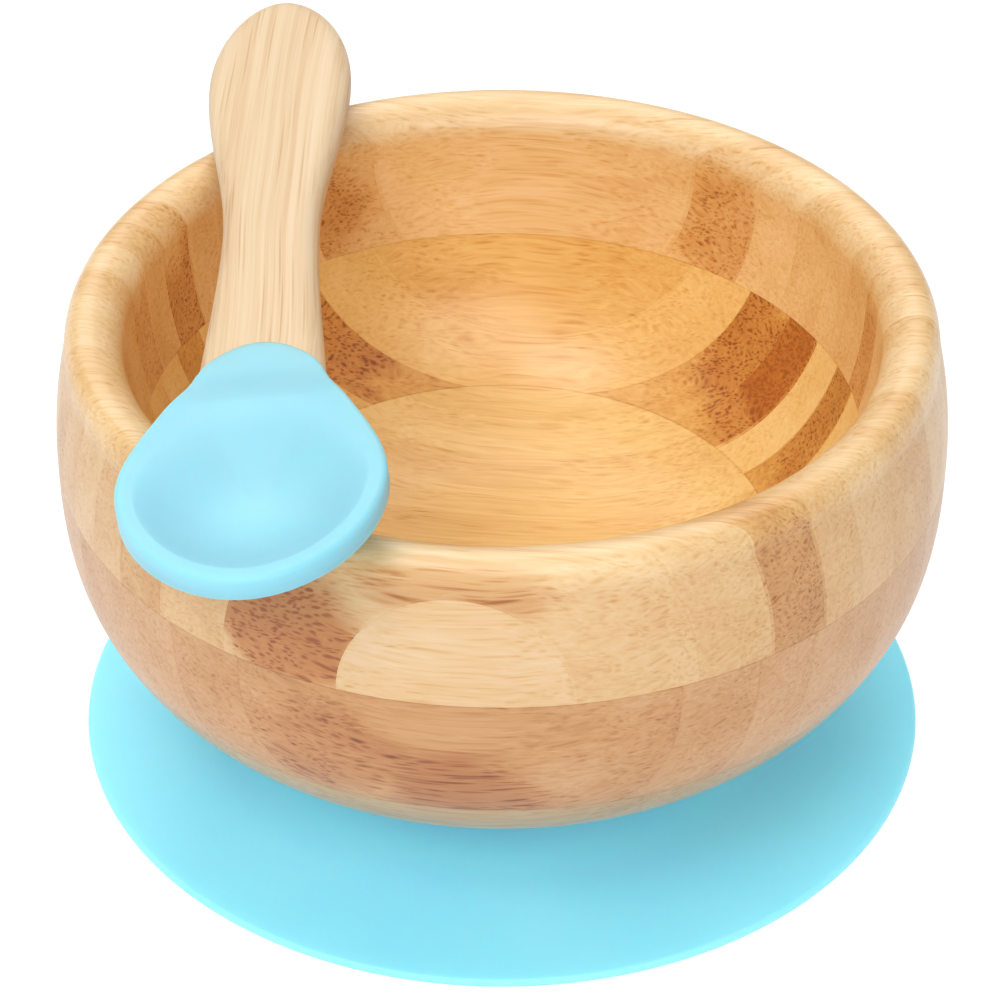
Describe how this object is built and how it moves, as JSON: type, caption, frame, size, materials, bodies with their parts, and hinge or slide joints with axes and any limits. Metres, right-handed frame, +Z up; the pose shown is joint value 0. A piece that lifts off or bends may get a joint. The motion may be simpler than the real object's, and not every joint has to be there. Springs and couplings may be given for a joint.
{
  "type": "suction bowl",
  "caption": "Turned bamboo feeding bowl on a silicone suction base, with a silicone-tipped bamboo spoon lying across its rim.",
  "frame": {"origin": "on the bowl's axis, on the table that the suction base is pressed down on", "axes": "+Z up along the bowl's axis; the spoon lies along Y on the -X side, its silicone head at -Y"},
  "size_m": [0.124, 0.1473, 0.0802],
  "materials": {
    "bowl_bamboo": "satin",
    "handle_bamboo": "satin",
    "silicone": "satin"
  },
  "bodies": {
    "base": {"suction_base": "silicone"},
    "bowl": {"bowl_bottom_board": "bowl_bamboo", "bowl_middle_board": "bowl_bamboo", "bowl_top_board": "bowl_bamboo"},
    "spoon": {"spoon_handle": "handle_bamboo", "spoon_head": "silicone"}
  },
  "joints": [
    {"name": "bowl_lift", "type": "slide", "parent": "base", "child": "bowl", "axis": [0, 0, 1], "range_m": [0, 0.03]},
    {"name": "spoon_lift", "type": "slide", "parent": "bowl", "child": "spoon", "axis": [0, 0, 1], "range_m": [0, 0.08]}
  ]
}
